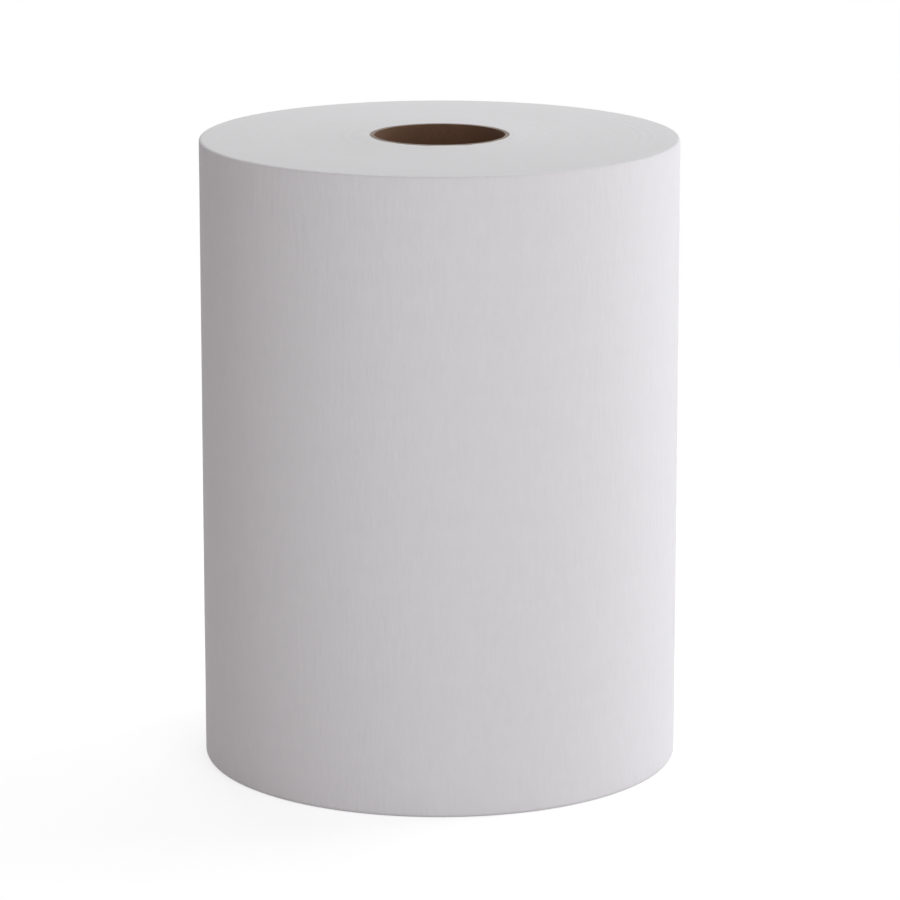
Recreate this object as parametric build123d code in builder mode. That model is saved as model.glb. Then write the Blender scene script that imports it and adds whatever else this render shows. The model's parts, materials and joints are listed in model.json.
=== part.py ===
from build123d import *

import os

# A hardwound paper towel roll, standing on one cut end.
#
# It has two pieces: a board core, and one long paper web wound tight on it. The log it comes from
# is sawn through web and core together, so both are as long as each other, with square ends.
# The origin is the centre of the end it stands on, and +Z runs along the core. Sizes are millimetres.

# Driving sizes
roll_width = 254.0  # width of the web, and so the length of the winding and of the core
roll_diameter = 192.4  # over the outermost turn, at the tail
core_bore = 52.4  # inside diameter of the core, which a dispenser's hubs enter
core_wall = 1.7
core_clearance = 0.0  # the web is wound under tension, straight onto the board
web_thickness = 0.11  # one ply, and so the height of the step at the tail
tail_angle = 152.0  # where the web ends, in degrees round +Z from +X

# The core and the turns next to it have crept along the roll, as they do when it is handled.
creep = 1.0  # how far the core stands out of the flat of the upper end, and in from the lower one
creep_diameter = 124.0  # the turns outside this diameter still lie flat

# Sizes that follow from them
core_radius = core_bore / 2 + core_wall
winding_radius = core_radius + core_clearance
creep_radius = creep_diameter / 2
covered_radius = roll_diameter / 2 - web_thickness  # of the turn that the tail lies on

os.makedirs("parts", exist_ok=True)

# Core tube: wound board, open from end to end
with BuildPart() as core_tube:
    with BuildSketch(Plane.XY.offset(creep)):
        Circle(core_radius)
        Circle(core_bore / 2, mode=Mode.SUBTRACT)
    extrude(amount=roll_width)

core_tube.part.label = "core_tube"
export_step(core_tube.part, "parts/core_tube.step")

# Wound web: all its turns as one solid
with BuildPart() as wound_web:
    # The outermost turn, seen along the core. Its first half keeps the covered turn's radius and its
    # second half climbs by one thickness, to the step where the tail is glued down. The two are
    # arcs that are tangent where they meet.
    with BuildSketch(Plane.XY.rotated((0, 0, tail_angle))):
        with BuildLine():
            level_half = CenterArc((0, 0), covered_radius, 0, 180)
            climb_centre = (web_thickness / 2, 0)
            climbing_half = CenterArc(climb_centre, covered_radius + web_thickness / 2, 180, 180)
            Line(climbing_half @ 1, level_half @ 0)
        make_face()
    extrude(amount=roll_width + creep)

    # The section that the core and the two ends leave of it. It runs past the outermost turn, and
    # each end is flat near the rim and rises evenly towards the core.
    with BuildSketch(Plane.XZ):
        with BuildLine():
            wall = Line((winding_radius, creep), (winding_radius, creep + roll_width))
            upper_rise = TangentArc((creep_radius, roll_width), wall @ 1, tangent=(-1, 0))
            lower_rise = TangentArc((creep_radius, 0), wall @ 0, tangent=(-1, 0))
            upper_flat = Line(upper_rise @ 0, (roll_diameter, roll_width))
            lower_flat = Line(lower_rise @ 0, (roll_diameter, 0))
            Line(lower_flat @ 1, upper_flat @ 1)
        make_face()
    revolve(axis=Axis.Z, mode=Mode.INTERSECT)

wound_web.part.label = "wound_web"
export_step(wound_web.part, "parts/wound_web.step")
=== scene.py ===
"""A hardwound paper towel roll: its looks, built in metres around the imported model.

The roll stands on its lower cut end, with the core's axis along +Z. The wound web gets its outermost
turn with the tail, and its sawn ends. The core tube gets its board plies and its butt seam. The stage
has the floor, the lamps and the camera.
"""

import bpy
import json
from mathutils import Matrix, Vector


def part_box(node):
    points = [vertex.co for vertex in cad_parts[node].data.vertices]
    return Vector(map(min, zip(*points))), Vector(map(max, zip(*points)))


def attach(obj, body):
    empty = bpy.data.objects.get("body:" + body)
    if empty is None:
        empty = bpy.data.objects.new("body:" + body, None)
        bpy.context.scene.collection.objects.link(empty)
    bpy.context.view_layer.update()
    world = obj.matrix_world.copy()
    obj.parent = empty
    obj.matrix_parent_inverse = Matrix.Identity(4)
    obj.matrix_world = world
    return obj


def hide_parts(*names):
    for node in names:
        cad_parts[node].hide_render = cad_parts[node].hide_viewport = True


bl_info = {
    "name": "Paper Towel Roll",
    "version": (1, 0, 0),
    "blender": (4, 5, 0),
    "location": "View3D > Sidebar > Towel Roll",
    "description": "Builds a hardwound paper towel roll around its packed model",
    "category": "Add Mesh",
}

import json
import math
import random
from typing import NamedTuple

import bmesh
import bpy
from bpy.props import FloatProperty, FloatVectorProperty, IntProperty, PointerProperty
from bpy.types import Operator, Panel, PropertyGroup
from mathutils import Vector, noise

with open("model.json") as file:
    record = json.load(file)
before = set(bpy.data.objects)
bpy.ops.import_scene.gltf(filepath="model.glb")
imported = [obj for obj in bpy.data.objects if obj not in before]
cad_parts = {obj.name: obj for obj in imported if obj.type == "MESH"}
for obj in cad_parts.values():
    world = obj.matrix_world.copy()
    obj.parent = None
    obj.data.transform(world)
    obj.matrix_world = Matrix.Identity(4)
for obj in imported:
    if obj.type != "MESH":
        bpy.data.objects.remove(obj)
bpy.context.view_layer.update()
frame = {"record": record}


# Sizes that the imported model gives

MM = 0.001
web_low, web_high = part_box("wound_web")
core_low, core_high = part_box("core_tube")
bore_mount = next(mount for mount in frame["record"]["mounts"] if mount["name"] == "core_bore")

COVERED_RADIUS = web_high.x  # of the turn that the tail lies on
CORE_RADIUS = core_high.x
BORE_RADIUS = bore_mount["dims"]["r_mm"] * MM
ROLL_WIDTH = core_high.z - core_low.z
CREEP = core_low.z  # how far the core has crept along the roll


# Properties that a user would change


def length(name, description, default, **limits):
    """A size in metres."""
    return FloatProperty(
        name=name,
        description=description,
        default=default,
        min=0.0,
        precision=5,
        subtype="DISTANCE",
        unit="LENGTH",
        **limits,
    )


def position(name, description, default):
    """A place in metres."""
    return FloatVectorProperty(
        name=name,
        description=description,
        default=default,
        size=3,
        subtype="TRANSLATION",
        unit="LENGTH",
    )


def angle(name, description, degrees):
    """An angle, given in degrees."""
    return FloatProperty(
        name=name,
        description=description,
        default=math.radians(degrees),
        subtype="ANGLE",
        unit="ROTATION",
    )


def colour(name, description, default):
    """A linear colour."""
    return FloatVectorProperty(
        name=name,
        description=description,
        default=default,
        min=0.0,
        max=1.0,
        size=3,
        subtype="COLOR",
    )


def number(name, description, default, **unit):
    """A plain number, or one with a unit."""
    return FloatProperty(name=name, description=description, default=default, min=0.0, **unit)


def count(name, description, default, least):
    """A whole number."""
    return IntProperty(name=name, description=description, default=default, min=least)


class WebProperties(PropertyGroup):
    """The wound web."""

    thickness: length("Web Thickness", "One ply of towel, and so the step at the tail", 0.11 * MM)
    creep_radius: length("Creep Radius", "The turns outside this radius lie flat at both ends", 62 * MM)
    upper_round: length("Upper Rim", "How softly the side turns into the upper end", 1.0 * MM)
    lower_round: length("Lower Rim", "How softly the side turns into the lower end", 2.0 * MM)
    tail_angle: angle("Tail Angle", "Where the web ends, round +Z from +X", 152)
    tail_margin: length("Tail Margin", "The loose end of the tail, past its line of glue", 14 * MM)
    tail_lift: length("Tail Lift", "How far the loose end stands off the turn under it", 0.22 * MM)
    tail_sway: length("Tail Sway", "How far the cut of the tail strays from a straight line", 0.5 * MM)
    ring_pitch: length("Ring Pitch", "Mean width of a group of turns that shows on a cut end", 0.72 * MM)
    ring_relief: length("Ring Relief", "How unevenly those groups lie", 0.014 * MM)
    wrinkle: length("First Turns", "How crumpled the first turns are, next to the core", 0.2 * MM)
    band_relief: length("Gauge Bands", "How far the bands round the side stand out", 0.04 * MM)
    out_of_round: length("Out of Round", "How far the side strays from a true cylinder", 0.12 * MM)
    crepe_pitch: length("Crepe Pitch", "From one crepe ridge to the next", 0.42 * MM)
    crepe_length: length("Crepe Length", "How far a crepe ridge runs up the side", 3.8 * MM)
    crepe_height: length("Crepe Height", "Height of the crepe ridges", 0.05 * MM)
    pucker_pitch: length("Pucker Pitch", "From one soft pucker to the next", 1.9 * MM)
    pucker_length: length("Pucker Length", "How far a pucker runs up the side", 11 * MM)
    pucker_height: length("Pucker Height", "Height of the puckers", 0.16 * MM)
    paper: colour("Paper", "Colour of the towel's face", (0.838, 0.828, 0.845))
    cut_paper: colour("Cut Paper", "Colour of the sawn ends", (0.828, 0.828, 0.835))
    columns: count("Columns", "Columns of faces round the roll", 264, 24)
    side_rows: count("Side Rows", "Rows of faces up the side", 48, 2)


class CoreProperties(PropertyGroup):
    """The board core."""

    plies: count("Plies", "Board plies in the wall", 4, 1)
    ply_groove: length("Ply Groove", "Depth of the line between two plies on a cut end", 0.06 * MM)
    seam_turns: count("Seam Turns", "Whole turns that the butt seam makes along the core", 2, 1)
    seam_angle: angle("Seam Angle", "Where the seam meets the lower end, round +Z from +X", 205)
    seam_width: length("Seam Width", "Gap between the edges of the inner ply", 0.7 * MM)
    seam_depth: length("Seam Depth", "Depth of that gap", 0.3 * MM)
    board: colour("Board", "Colour of the core's inside", (0.16, 0.085, 0.048))
    cut_board: colour("Cut Board", "Colour of the core's cut ends", (0.36, 0.31, 0.27))
    columns: count("Columns", "Columns of faces round the core", 150, 24)
    bore_rows: count("Bore Rows", "Rows of faces along the bore", 160, 8)


class StageProperties(PropertyGroup):
    """Floor, lamps and camera."""

    floor_radius: length("Floor Radius", "Radius of the floor", 14.0)
    floor_colour: colour("Floor", "Colour of the floor", (0.8, 0.8, 0.8))
    floor_shade: colour("Floor Shade", "How strongly the floor shows its shadows", (0.6, 0.6, 0.6))
    floor_glow: number("Floor White", "What brings the lit floor up to white", 0.65)
    shadow_reach: length("Shadow Reach", "How far from the roll the floor has faded to white", 1.0)
    room_level: number("Room Level", "Light from all round", 0.336)
    room_colour: colour("Room", "Colour of the light from all round", (1.0, 0.94, 0.95))
    side_place: position("Side Lamp Place", "Where the soft lamp on the right stands", (1.3, 0.6, 0.6))
    side_size: length("Side Lamp Size", "Width of that lamp", 1.0)
    side_power: number("Side Lamp", "Power of that lamp", 11.5, unit="POWER")
    side_colour: colour("Side Lamp Colour", "Colour of that lamp", (0.96, 0.98, 1.0))
    back_place: position("Back Lamp Place", "Where the soft lamp above the back stands", (0.0, 0.5, 0.9))
    back_size: length("Back Lamp Size", "Width of that lamp", 0.6)
    back_power: number("Back Lamp", "Power of that lamp", 2.4, unit="POWER")
    back_colour: colour("Back Lamp Colour", "Colour of that lamp", (0.96, 1.0, 1.0))
    front_place: position("Front Lamp Place", "Where the soft lamp at the front stands", (0.45, -1.2, 0.5))
    front_size: length("Front Lamp Size", "Width of that lamp", 0.8)
    front_power: number("Front Lamp", "Power of that lamp", 5.2, unit="POWER")
    front_colour: colour("Front Lamp Colour", "Colour of that lamp", (0.98, 0.99, 1.0))
    lens: number("Lens", "Focal length of the camera, in millimetres", 180.17)
    camera_distance: length("Camera Distance", "From the camera to its target", 1.8266)
    camera_elevation: angle("Camera Elevation", "How far the camera looks down", 13.122)
    target_side: length("Target Side", "How far right of the core's axis the camera looks", 4.13 * MM)
    target_height: length("Target Height", "The height that the camera looks at", 125.57 * MM)


# Shader maths


class Wire:
    """One output of a node. Arithmetic on wires and numbers adds Math nodes."""

    def __init__(self, shader, socket):
        self.shader = shader
        self.socket = socket

    def __getitem__(self, output):
        """Another output of the same node."""
        return Wire(self.shader, self.socket.node.outputs[output])

    def __add__(self, other):
        return self.shader.maths("ADD", self, other)

    def __radd__(self, other):
        return self.shader.maths("ADD", other, self)

    def __mul__(self, other):
        return self.shader.maths("MULTIPLY", self, other)

    def __rmul__(self, other):
        return self.shader.maths("MULTIPLY", other, self)


class Shader:
    """A node tree, and the ways that nodes are added to it."""

    def __init__(self, owner):
        owner.use_nodes = True
        self.tree = owner.node_tree
        self.tree.nodes.clear()

    def node(self, kind, settings=None, inputs=(), **named):
        """Adds a node: its settings first, then its inputs, in order or by name with _ for a space."""
        made = self.tree.nodes.new(kind)
        for setting, value in (settings or {}).items():
            setattr(made, setting, value)
        in_use = [socket for socket in made.inputs if socket.enabled]
        chosen = list(zip(in_use, inputs))
        chosen += [(made.inputs[name.replace("_", " ")], value) for name, value in named.items()]
        for socket, value in chosen:
            if isinstance(value, Wire):
                self.tree.links.new(value.socket, socket)
            else:
                socket.default_value = value
        given = [socket for socket in made.outputs if socket.enabled]
        return Wire(self, given[0]) if given else None

    def maths(self, operation, *terms):
        """A Math node."""
        return self.node("ShaderNodeMath", {"operation": operation}, terms)

    def vector_maths(self, operation, *terms):
        """A Vector Math node."""
        return self.node("ShaderNodeVectorMath", {"operation": operation}, terms)

    def mix(self, factor, first, second):
        """From the first colour to the second as the factor goes from 0 to 1."""
        return self.node("ShaderNodeMix", {"data_type": "RGBA"}, (factor, opaque(first), opaque(second)))

    def place(self):
        """The point of the object that is being shaded, in metres."""
        return self.node("ShaderNodeTexCoord")["Object"]

    def round_axis(self, place, centre):
        """The place, with its distance from an upright axis in place of its height."""
        from_axis = self.vector_maths("MULTIPLY", self.vector_maths("SUBTRACT", place, centre), (1, 1, 0))
        axes = self.node("ShaderNodeSeparateXYZ", Vector=place)
        radius = self.vector_maths("LENGTH", from_axis)
        return self.node("ShaderNodeCombineXYZ", X=axes["X"], Y=axes["Y"], Z=radius)

    def grain(self, place, wide, high, detail=2.0):
        """Noise from 0 to 1 around a half, in grains this wide in X and Y and this high in Z."""
        spread = (1 / wide, 1 / wide, 1 / high)
        scaled = self.vector_maths("MULTIPLY", place, spread)
        three = {"noise_dimensions": "3D"}
        return self.node("ShaderNodeTexNoise", three, Vector=scaled, Scale=1.0, Detail=detail)

    def surface(self, colour, roughness, height, specular):
        """A matt surface. Its relief is a height in metres."""
        relief = self.node("ShaderNodeBump", Distance=1.0, Height=height)
        skin = self.node(
            "ShaderNodeBsdfPrincipled",
            Base_Color=colour,
            Roughness=roughness,
            Specular_IOR_Level=specular,
            Normal=relief,
        )
        self.node("ShaderNodeOutputMaterial", Surface=skin)

    def seen_directly(self):
        """1 where the camera sees this, also in gloss or through glass, and 0 where it only gives light."""
        rays = self.node("ShaderNodeLightPath")
        seen = rays["Is Camera Ray"] + rays["Is Glossy Ray"] + rays["Is Transmission Ray"]
        return self.maths("MINIMUM", seen, 1.0)


def material(name):
    """A material, and the shader to build it with."""
    made = bpy.data.materials.get(name) or bpy.data.materials.new(name)
    return made, Shader(made)


def shade(colour, factor):
    """The colour made lighter or darker."""
    return tuple(channel * factor for channel in colour)


def opaque(colour):
    """The colour as a socket takes it."""
    return (*colour, 1.0)


# Finishes

AXIS = (0.0, 0.0, 0.0)
BLADE_CENTRE = (-0.31, -0.12, 0.0)  # of the saw that cut the roll to length
ROUND_ROLL = 60 * MM  # how far the marks on an end run round it
CLOUD = 6 * MM  # patches of thicker and thinner fibre
BAND = 7 * MM  # height of a gauge band round the side
TURN_LINE = 0.24 * MM  # finest lines between turns
TURN_GROUP = 1.7 * MM
SAW_SCORE = 0.9 * MM
LINT = 0.35 * MM
BOARD_FIBRE = 1.5 * MM
BOARD_FLECK = 0.6 * MM
PLY_FIBRE = 0.2 * MM
FINE_RELIEF = 0.02 * MM  # height of what can barely be felt
COARSE_RELIEF = 0.05 * MM


def towel_face(web):
    """Creped paper: broken ridges and soft puckers up the side, over cloudy fibre, with painted shade in the
    hollows between them.
    """
    made, shader = material("towel_face")
    place = shader.place()
    crepe = shader.grain(place, web.crepe_pitch, web.crepe_length)
    puckers = shader.grain(place, web.pucker_pitch, web.pucker_length)
    clouds = shader.grain(place, CLOUD, 1.4 * CLOUD, detail=3.0)
    bands = shader.grain(place, 10 * ROUND_ROLL, BAND)
    # Partly the fibre's own tone (clouds, bands), partly painted shade: darker in the crepe creases and
    # between the puckers.
    tone = 0.35 * crepe + 0.25 * puckers + 0.25 * clouds + 0.15 * bands
    shader.surface(
        colour=shader.mix(tone, shade(web.paper, 0.93), shade(web.paper, 1.07)),
        roughness=0.86 + 0.12 * crepe,
        height=web.crepe_height * crepe + web.pucker_height * puckers,
        specular=0.25,
    )
    return made


def towel_cut(web):
    """The sawn ends: the edges of the turns, crossed by the faint scores of the saw."""
    made, shader = material("towel_cut_end")
    place = shader.place()
    around = shader.round_axis(place, AXIS)
    lines = shader.grain(around, ROUND_ROLL, TURN_LINE, detail=1.0)
    groups = shader.grain(around, 1.5 * ROUND_ROLL, TURN_GROUP, detail=3.0)
    scores = shader.grain(shader.round_axis(place, BLADE_CENTRE), 0.4 * ROUND_ROLL, SAW_SCORE)
    lint = shader.grain(place, LINT, LINT)
    clouds = shader.grain(place, CLOUD, CLOUD)
    tone = 0.25 * lines + 0.25 * groups + 0.15 * scores + 0.2 * lint + 0.15 * clouds
    turns_height = 0.5 * COARSE_RELIEF * lines + COARSE_RELIEF * groups
    shader.surface(
        colour=shader.mix(tone, shade(web.cut_paper, 0.93), shade(web.cut_paper, 1.07)),
        roughness=0.88 + 0.1 * lint,
        height=turns_height + FINE_RELIEF * scores + FINE_RELIEF * lint,
        specular=0.2,
    )
    return made


def core_board(core):
    """The inside of the core: brown kraft board, cloudy, with fibres and darker flecks."""
    made, shader = material("core_board")
    place = shader.place()
    fibres = shader.grain(place, BOARD_FIBRE, 0.4 * BOARD_FIBRE, detail=3.0)
    flecks = shader.grain(place, BOARD_FLECK, BOARD_FLECK, detail=1.0)
    clouds = shader.grain(place, CLOUD, CLOUD)
    tone = 0.4 * fibres + 0.25 * flecks + 0.35 * clouds
    shader.surface(
        colour=shader.mix(tone, shade(core.board, 0.6), shade(core.board, 1.4)),
        roughness=0.7 + 0.2 * clouds,
        height=0.6 * COARSE_RELIEF * fibres + FINE_RELIEF * flecks,
        specular=0.3,
    )
    return made


def core_cut(core):
    """The cut ends of the core: grey-brown torn fibre in layers."""
    made, shader = material("core_cut_end")
    place = shader.place()
    layers = shader.grain(shader.round_axis(place, AXIS), 0.25 * ROUND_ROLL, PLY_FIBRE, detail=1.0)
    fuzz = shader.grain(place, LINT, LINT, detail=3.0)
    tone = 0.5 * layers + 0.5 * fuzz
    shader.surface(
        colour=shader.mix(tone, shade(core.cut_board, 0.7), shade(core.cut_board, 1.3)),
        roughness=0.9 + 0.08 * fuzz,
        height=0.8 * COARSE_RELIEF * layers + 1.2 * COARSE_RELIEF * fuzz,
        specular=0.2,
    )
    return made


# Mesh making

BAKE_MAP = "OFBake"  # the UV map that the finishes are baked through
SHARP_FOLD = math.radians(40)  # faces that meet at more than this meet in a crisp edge


class Skin(NamedTuple):
    """One sort of surface on a piece: its material, and how its faces lie on the bake's map."""

    material: int
    lay_out: object


def placed(name, data):
    """An object with this data, in the scene."""
    made = bpy.data.objects.new(name, data)
    bpy.context.scene.collection.objects.link(made)
    return made


def meshed(name, surface, materials):
    """An object with this surface, and the materials in its slots."""
    mesh = bpy.data.meshes.new(name)
    surface.to_mesh(mesh)
    surface.free()
    for made in materials:
        mesh.materials.append(made)
    return placed(name, mesh)


def unrolled(corner, cut_angle, low, per_radian, per_metre):
    """Lays a wall out flat from a corner of the map, cut at an angle and starting at a height."""

    def places(points):
        turns = [(math.atan2(point.y, point.x) - cut_angle) % math.tau for point in points]
        if max(turns) - min(turns) > math.pi:
            turns = [turn if turn > math.pi else turn + math.tau for turn in turns]
        return [
            (corner[0] + per_radian * turn, corner[1] + per_metre * (point.z - low))
            for turn, point in zip(turns, points)
        ]

    return places


def flattened(centre, per_metre):
    """Lays an end out as it is seen along the core."""

    def places(points):
        return [(centre[0] + per_metre * point.x, centre[1] + per_metre * point.y) for point in points]

    return places


def skinned(name, rings, skins, materials):
    """A closed mesh through rings of as many points each, joined in order, and the last to the first.

    The rings run counterclockwise, and skins[i] is the surface between rings[i] and the ring after it.
    """
    surface = bmesh.new()
    bake_map = surface.loops.layers.uv.new(BAKE_MAP)
    rows = [[surface.verts.new(point) for point in ring] for ring in rings]
    for near, far, skin in zip(rows, rows[1:] + rows[:1], skins):
        for first in range(len(near)):
            second = (first + 1) % len(near)
            face = surface.faces.new((near[first], far[first], far[second], near[second]))
            face.smooth = True
            face.material_index = skin.material
            places = skin.lay_out([loop.vert.co for loop in face.loops])
            for loop, place in zip(face.loops, places):
                loop[bake_map].uv = place
    piece = meshed(name, surface, materials)
    piece.data.set_sharp_from_angle(angle=SHARP_FOLD)
    return piece


def steady(value, seed):
    """Smooth noise between about -1 and 1 along a line."""
    return noise.noise(Vector((value, 17.3 * seed, 4.1)))


def steady_round(turn, waves, seed, value=0.0):
    """Smooth noise between about -1 and 1 round the roll, which closes on itself."""
    reach = waves / math.tau
    return noise.noise(Vector((reach * math.cos(turn), reach * math.sin(turn), 11.7 * seed + value)))


def round_point(radius, turn, height):
    """The point at a radius and an angle round the core's axis."""
    return Vector((radius * math.cos(turn), radius * math.sin(turn), height))


# The wound web

TAIL_FACE = 0.03 * MM  # how far round the roll the step at the tail spreads
NEAR_TAIL = (0.4 * MM, 1.1 * MM)  # extra columns before the tail
PAST_TAIL = 0.9 * MM  # and one past it, on the turn that it lies on
TAIL_CURL = 24 * MM  # height of one curl of the loose end
TAIL_STRAY = 60 * MM  # height over which its cut strays one way
WIDE_BAND = 17 * MM
NARROW_BAND = 5 * MM
SWAY_HEIGHT = 180 * MM  # how slowly the roll's shape changes up the side
RING_STRAY = 0.05 * MM  # how far a line between turns strays from a true circle
CRUMPLED = 2.5 * MM  # how far from the core the first turns are crumpled
CRUMPLE = 1.3 * MM  # how far one crumple reaches into the next turns
PATCH = 9 * MM  # how far an uneven patch reaches across the turns
STRAY_REACH = 5 * MM
SUNK_TURN = -2.0  # relief of the very first turn
RIM_STEPS = 5
UPPER_SEED = 3
LOWER_SEED = 8
BAND_SEED = 1
SWAY_SEED = 3
CURL_SEED = 5
CUT_SEED = 6


def web_columns(web):
    """The angle of each column of the mesh, and how far round the roll it lies before the tail, in metres."""
    girth = math.tau * COVERED_RADIUS
    even = [girth * step / web.columns for step in range(1, web.columns)]
    close = [0.5 * TAIL_FACE, *NEAR_TAIL, girth - PAST_TAIL, girth - 0.5 * TAIL_FACE]
    arcs = sorted(even + close, reverse=True)
    return [(web.tail_angle - arc / COVERED_RADIUS, arc) for arc in arcs]


def crept(web, radius):
    """How far the turns at a radius have crept along the roll."""
    reach = (web.creep_radius - radius) / (web.creep_radius - CORE_RADIUS)
    return CREEP * max(reach, 0.0) ** 2


def side_radius(web, arc, turn, height):
    """Radius of the outermost turn, at an arc before the tail."""
    before_tail = arc / COVERED_RADIUS
    climb = (1 + math.cos(before_tail)) / 2 if before_tail < math.pi else 0.0
    loose = max(1 - arc / web.tail_margin, 0.0)
    curl = 0.6 + 0.5 * steady(height / TAIL_CURL, CURL_SEED)
    bands = steady(height / WIDE_BAND, BAND_SEED) + 0.5 * steady(height / NARROW_BAND, BAND_SEED + 1)
    sway = steady_round(turn, 5, SWAY_SEED, height / SWAY_HEIGHT)
    return (
        COVERED_RADIUS
        + web.thickness * climb
        + web.tail_lift * curl * loose**2
        + web.band_relief * bands
        + web.out_of_round * (sway - 0.5)
    )


def side_ring(web, columns, height, inset=0.0):
    """A ring of the outermost turn, drawn in by inset."""
    girth = math.tau * COVERED_RADIUS
    points = []
    for turn, arc in columns:
        near_tail = max(1 - min(arc, girth - arc) / web.tail_margin, 0.0)
        stray = web.tail_sway * steady(height / TAIL_STRAY, CUT_SEED) * near_tail / COVERED_RADIUS
        points.append(round_point(side_radius(web, arc, turn, height) - inset, turn + stray, height))
    return points


def turn_groups(web, rounding, seed):
    """(radius, relief) of the groups of turns that show on a cut end, from the core out."""
    pick = random.Random(seed)
    groups = [(CORE_RADIUS, SUNK_TURN)]
    shelf = 0.0
    radius = CORE_RADIUS + 0.4 * web.ring_pitch
    while radius < COVERED_RADIUS - rounding - 0.7 * web.ring_pitch:
        shelf = 0.8 * shelf + pick.gauss(0, 0.6)
        groups.append((radius, shelf + pick.gauss(0, 0.7)))
        radius += web.ring_pitch * pick.uniform(0.6, 1.4)
    return groups


def cut_end(web, columns, rounding, seed):
    """The rings of a cut end from the core out, each a list of (radius, angle, height out of the end)."""
    rings = []
    for radius, relief in turn_groups(web, rounding, seed):
        near_core = math.exp((CORE_RADIUS - radius) / CRUMPLED)
        ring = []
        for turn, _ in columns:
            uneven = relief * (1 + 0.6 * steady_round(turn, 4, seed, radius / PATCH))
            crumple = (steady_round(turn, 26, seed, radius / CRUMPLE) - 0.6) * near_core
            stray = RING_STRAY * steady_round(turn, 7, seed + 1, radius / STRAY_REACH)
            ring.append((radius + stray, turn, web.ring_relief * uneven + web.wrinkle * crumple))
        rings.append(ring)
    return rings


def rim(rounding):
    """(inset, drop) of each ring that turns a cut end into the side, from the end."""
    bends = [0.5 * math.pi * step / RIM_STEPS for step in range(RIM_STEPS + 1)]
    return [(rounding * (1 - math.sin(bend)), rounding * (1 - math.cos(bend))) for bend in bends]


def web_rings(web, columns):
    """The rings of the upper end, the side and the lower end, in that order."""
    upper = [
        [round_point(radius, turn, ROLL_WIDTH + crept(web, radius) + out) for radius, turn, out in ring]
        for ring in cut_end(web, columns, web.upper_round, UPPER_SEED)
    ]
    lower = [
        [round_point(radius, turn, max(crept(web, radius) - out, 0.0)) for radius, turn, out in ring]
        for ring in cut_end(web, columns, web.lower_round, LOWER_SEED)
    ]
    top = ROLL_WIDTH - web.upper_round
    step = (top - web.lower_round) / web.side_rows
    side = [side_ring(web, columns, ROLL_WIDTH - drop, inset) for inset, drop in rim(web.upper_round)]
    side += [side_ring(web, columns, top - step * row) for row in range(1, web.side_rows)]
    side += [side_ring(web, columns, drop, inset) for inset, drop in reversed(rim(web.lower_round))]
    return upper, side, lower[::-1]


def web_surface(web):
    """The rings of the web and the skin after each: upper end, side, lower end, and the wall on the core."""
    upper, side, lower = web_rings(web, web_columns(web))
    per_radian = 0.99 / math.tau
    end_scale = 0.245 / (COVERED_RADIUS + web.thickness)
    upper_skin = Skin(1, flattened((0.25, 0.72), end_scale))
    lower_skin = Skin(1, flattened((0.75, 0.72), end_scale))
    side_skin = Skin(0, unrolled((0.005, 0.01), web.tail_angle, 0.0, per_radian, per_radian / COVERED_RADIUS))
    hidden_skin = Skin(0, unrolled((0.005, 0.97), web.tail_angle, 0.0, per_radian, 0.02 / ROLL_WIDTH))
    skins = [upper_skin] * len(upper) + [side_skin] * (len(side) - 1)
    skins += [lower_skin] * len(lower) + [hidden_skin]
    return upper + side + lower, skins


# The core tube

SEAM_LIP = 0.05 * MM  # how far the edges of the inner ply stand up at its seam
SEAM_LIP_WIDTH = 0.5 * MM
OUTER_SEAM = 0.05 * MM  # the dent over the seam of the ply outside it
OUTER_SEAM_WIDTH = 1.6 * MM
SEAM_EDGES = (0.25 * MM, 0.9 * MM)  # extra columns beside the gap
SEAM_CLEAR = 0.8 * MM  # from them to the even columns
BOARD_SWAY = 0.06 * MM  # how far the bore strays from a true cylinder
BOARD_SWAY_HEIGHT = 90 * MM
CUT_FUZZ = 0.03 * MM
CUT_EDGE = 0.12 * MM  # how the saw has broken the edges of the wall
CORE_SEED = 12
LOWER_CUT_SEED = 21
UPPER_CUT_SEED = 22


def core_columns(core):
    """How far each column of the mesh lies from the butt seam, in metres round the bore."""
    girth = math.tau * BORE_RADIUS
    half = 0.5 * core.seam_width
    close = [0.55 * half, half] + [half + edge for edge in SEAM_EDGES]
    first = close[-1] + SEAM_CLEAR
    steps = core.columns - 2 * len(close)
    even = [first + (girth - 2 * first) * step / (steps - 1) for step in range(steps)]
    return sorted(close + even + [girth - arc for arc in close])


def turned(core, height):
    """(arc from the seam, angle) of each column, turned with the seam's helix at a height."""
    twist = core.seam_angle + math.tau * core.seam_turns * (height - core_low.z) / ROLL_WIDTH
    return [(arc, twist + arc / BORE_RADIUS) for arc in core_columns(core)]


def bore_radius(core, arc, turn, height):
    """Radius of the inner wall, at an arc round from the butt seam."""
    girth = math.tau * BORE_RADIUS
    half = 0.5 * core.seam_width
    from_seam = min(arc, girth - arc)
    in_gap = from_seam < 0.6 * half
    lip = math.exp(-(((from_seam - half) / SEAM_LIP_WIDTH) ** 2))
    over_seam = math.exp(-(((arc - 0.5 * girth) / OUTER_SEAM_WIDTH) ** 2))
    at_seam = core.seam_depth if in_gap else -SEAM_LIP * lip
    sway = steady_round(turn, 3, CORE_SEED, height / BOARD_SWAY_HEIGHT)
    return BORE_RADIUS + at_seam + OUTER_SEAM * over_seam + BOARD_SWAY * sway


def bore_ring(core, height):
    """A ring of the inner wall."""
    return [
        round_point(bore_radius(core, arc, turn, height), turn, height) for arc, turn in turned(core, height)
    ]


def ply_lines(core):
    """(share of the wall, depth) of each ring on a cut end, from the bore out."""
    lines = [(0.0, CUT_EDGE), (0.06, 0.0)]
    for ply in range(1, core.plies):
        share = ply / core.plies
        lines += [(share - 0.04, 0.0), (share, core.ply_groove), (share + 0.04, 0.0)]
    return lines + [(0.95, 0.0), (1.0, CUT_EDGE)]


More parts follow.
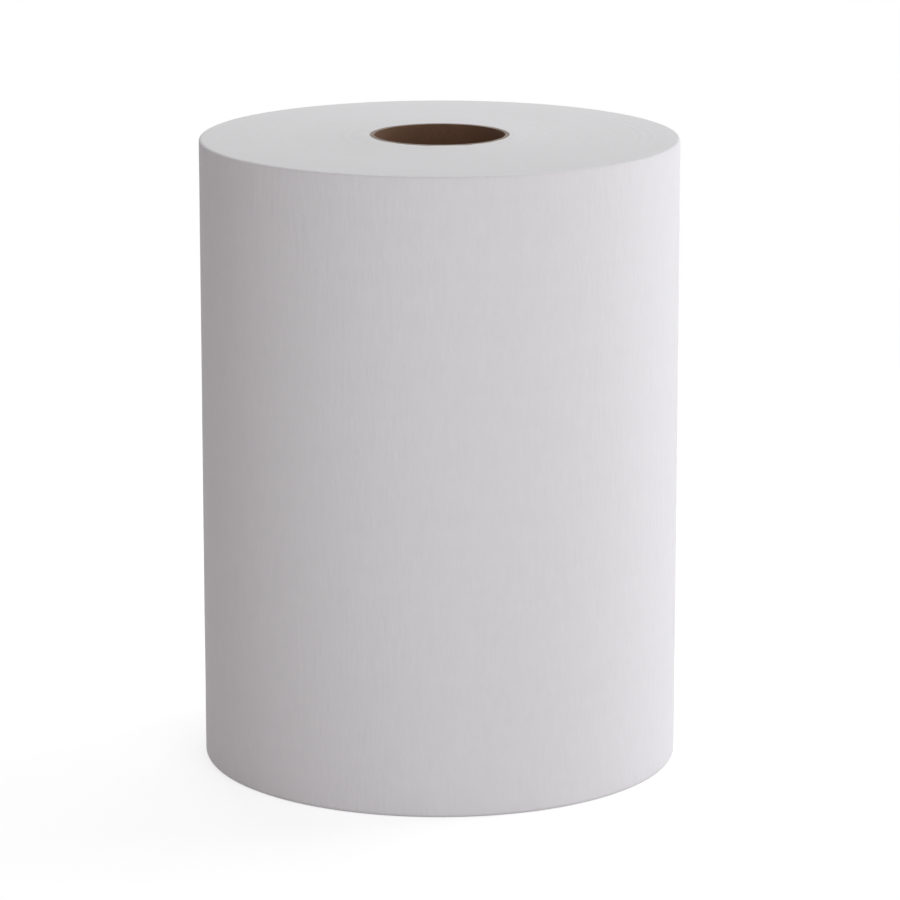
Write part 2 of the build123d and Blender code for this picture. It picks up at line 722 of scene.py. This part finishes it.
def core_end(core, height, inward, seed):
    """The rings of a cut end from the bore out. inward is the way into the core, 1 up or -1 down."""
    rings = []
    for share, depth in ply_lines(core):
        ring = []
        for arc, turn in turned(core, height):
            inner = bore_radius(core, arc, turn, height)
            fuzz = CUT_FUZZ * (1 + steady_round(turn, 60, seed, 3 * share))
            level = height + inward * (depth + fuzz)
            ring.append(round_point(inner + (CORE_RADIUS - inner) * share, turn, level))
        rings.append(ring)
    return rings


def core_surface(core):
    """The rings of the core and the skin after each: bore, upper end, outside, lower end."""
    step = ROLL_WIDTH / core.bore_rows
    bore = [bore_ring(core, core_low.z + step * row) for row in range(1, core.bore_rows)]
    upper = core_end(core, core_high.z, -1, UPPER_CUT_SEED)
    lower = core_end(core, core_low.z, 1, LOWER_CUT_SEED)[::-1]
    scale = 0.94 / ROLL_WIDTH
    end_scale = 0.09 / CORE_RADIUS
    bore_skin = Skin(0, unrolled((0.01, 0.03), core.seam_angle, core_low.z, scale * BORE_RADIUS, scale))
    upper_skin = Skin(1, flattened((0.74, 0.4), end_scale))
    lower_skin = Skin(1, flattened((0.74, 0.15), end_scale))
    hidden_layout = unrolled((0.65, 0.6), core.seam_angle, core_low.z, 0.3 / math.tau, 0.3 / ROLL_WIDTH)
    hidden_skin = Skin(0, hidden_layout)
    skins = [bore_skin] * len(bore) + [upper_skin] * (len(upper) - 1) + [hidden_skin]
    skins += [lower_skin] * (len(lower) - 1) + [bore_skin]
    return bore + upper + lower, skins


# The stage

FLOOR_SIDES = 96
SENSOR_WIDTH = 36.0  # of the camera, in millimetres
LAMPS = ("side", "back", "front")

def floor_finish(stage):
    """Pale floor. Seen directly it is white, apart from where the roll shades it."""
    made, shader = material("studio_floor")
    plain = shader.node("ShaderNodeBsdfDiffuse", Color=opaque(stage.floor_colour))
    shaded = shader.node("ShaderNodeBsdfDiffuse", Color=opaque(stage.floor_shade))
    glow = shader.node("ShaderNodeEmission", Strength=stage.floor_glow)
    near = shader.node("ShaderNodeAddShader", inputs=(shaded, glow))
    white = shader.node("ShaderNodeEmission", Strength=1.0)
    from_roll = shader.vector_maths("LENGTH", shader.place())
    faded = shader.maths("MINIMUM", from_roll * (1 / stage.shadow_reach), 1.0)
    seen = shader.node("ShaderNodeMixShader", inputs=(faded, near, white))
    surface = shader.node("ShaderNodeMixShader", inputs=(shader.seen_directly(), plain, seen))
    shader.node("ShaderNodeOutputMaterial", Surface=surface)
    return made


def light_room(stage):
    """The light from all round. Seen directly the room is white."""
    world = bpy.data.worlds.get("studio") or bpy.data.worlds.new("studio")
    bpy.context.scene.world = world
    shader = Shader(world)
    light = shader.node("ShaderNodeBackground", Color=opaque(stage.room_colour), Strength=stage.room_level)
    white = shader.node("ShaderNodeBackground", Color=(1.0, 1.0, 1.0, 1.0), Strength=1.0)
    surface = shader.node("ShaderNodeMixShader", inputs=(shader.seen_directly(), light, white))
    shader.node("ShaderNodeOutputWorld", Surface=surface)


def soft_lamp(stage, name):
    """A square soft lamp at its place, turned to the middle of the roll."""
    lamp = bpy.data.lights.new(f"{name}_lamp", "AREA")
    lamp.shape = "SQUARE"
    lamp.size = getattr(stage, f"{name}_size")
    lamp.energy = getattr(stage, f"{name}_power")
    lamp.color = getattr(stage, f"{name}_colour")
    holder = placed(lamp.name, lamp)
    holder.location = getattr(stage, f"{name}_place")
    middle = Vector((0.0, 0.0, 0.5 * ROLL_WIDTH))
    holder.rotation_mode = "QUATERNION"
    holder.rotation_quaternion = (middle - holder.location).to_track_quat("-Z", "Y")


def lay_floor(stage):
    """A round floor at the height that the roll stands on."""
    surface = bmesh.new()
    bmesh.ops.create_circle(surface, cap_ends=True, segments=FLOOR_SIDES, radius=stage.floor_radius)
    meshed("studio_floor", surface, [floor_finish(stage)])


def place_camera(stage):
    """The camera in front of the roll, looking a little down on it."""
    camera = placed("camera", bpy.data.cameras.new("camera"))
    target = Vector((stage.target_side, 0.0, stage.target_height))
    rise = stage.camera_elevation
    back = Vector((0.0, -math.cos(rise), math.sin(rise)))
    camera.data.sensor_width = SENSOR_WIDTH
    camera.data.lens = stage.lens
    camera.location = target + stage.camera_distance * back
    camera.rotation_mode = "QUATERNION"
    camera.rotation_quaternion = (-back).to_track_quat("-Z", "Y")
    bpy.context.scene.camera = camera


# Operators and panel


class TOWEL_OT_wound_web(Operator):
    """Builds the wound web with its tail and its sawn ends"""

    bl_idname = "towel_roll.wound_web"
    bl_label = "Wound Web"

    def execute(self, context):
        web = context.scene.towel_web
        rings, skins = web_surface(web)
        piece = skinned("wound_web_paper", rings, skins, [towel_face(web), towel_cut(web)])
        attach(piece, "root")
        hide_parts("wound_web")
        return {"FINISHED"}


class TOWEL_OT_core_tube(Operator):
    """Builds the board core with its plies and its butt seam"""

    bl_idname = "towel_roll.core_tube"
    bl_label = "Core Tube"

    def execute(self, context):
        core = context.scene.towel_core
        rings, skins = core_surface(core)
        piece = skinned("core_tube_board", rings, skins, [core_board(core), core_cut(core)])
        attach(piece, "root")
        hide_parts("core_tube")
        return {"FINISHED"}


class TOWEL_OT_stage(Operator):
    """Lays the floor, and sets the light and the camera"""

    bl_idname = "towel_roll.stage"
    bl_label = "Stage"

    def execute(self, context):
        stage = context.scene.towel_stage
        lay_floor(stage)
        light_room(stage)
        for name in LAMPS:
            soft_lamp(stage, name)
        place_camera(stage)
        context.scene.view_settings.view_transform = "Standard"
        return {"FINISHED"}


class TOWEL_PT_panel(Panel):
    """The roll's pieces, with the sizes and colours of each"""

    bl_label = "Towel Roll"
    bl_idname = "TOWEL_PT_panel"
    bl_space_type = "VIEW_3D"
    bl_region_type = "UI"
    bl_category = "Towel Roll"

    def draw(self, context):
        for operator, group in BUILD_ORDER:
            box = self.layout.box()
            box.operator(operator.bl_idname)
            settings = getattr(context.scene, group)
            for name in settings.__annotations__:
                box.prop(settings, name)


BUILD_ORDER = (
    (TOWEL_OT_wound_web, "towel_web"),
    (TOWEL_OT_core_tube, "towel_core"),
    (TOWEL_OT_stage, "towel_stage"),
)
GROUPS = {
    "towel_web": WebProperties,
    "towel_core": CoreProperties,
    "towel_stage": StageProperties,
}


def register():
    """Registers the sizes, the operators and the panel."""
    for name, group in GROUPS.items():
        bpy.utils.register_class(group)
        setattr(bpy.types.Scene, name, PointerProperty(type=group))
    for operator, _ in BUILD_ORDER:
        bpy.utils.register_class(operator)
    bpy.utils.register_class(TOWEL_PT_panel)


def unregister():
    """Takes them away again."""
    bpy.utils.unregister_class(TOWEL_PT_panel)
    for operator, _ in reversed(BUILD_ORDER):
        bpy.utils.unregister_class(operator)
    for name, group in reversed(GROUPS.items()):
        delattr(bpy.types.Scene, name)
        bpy.utils.unregister_class(group)


def main():
    """Builds the roll and its stage."""
    register()
    bpy.ops.towel_roll.wound_web()
    bpy.ops.towel_roll.core_tube()
    bpy.ops.towel_roll.stage()


if __name__ == "__main__":
    main()
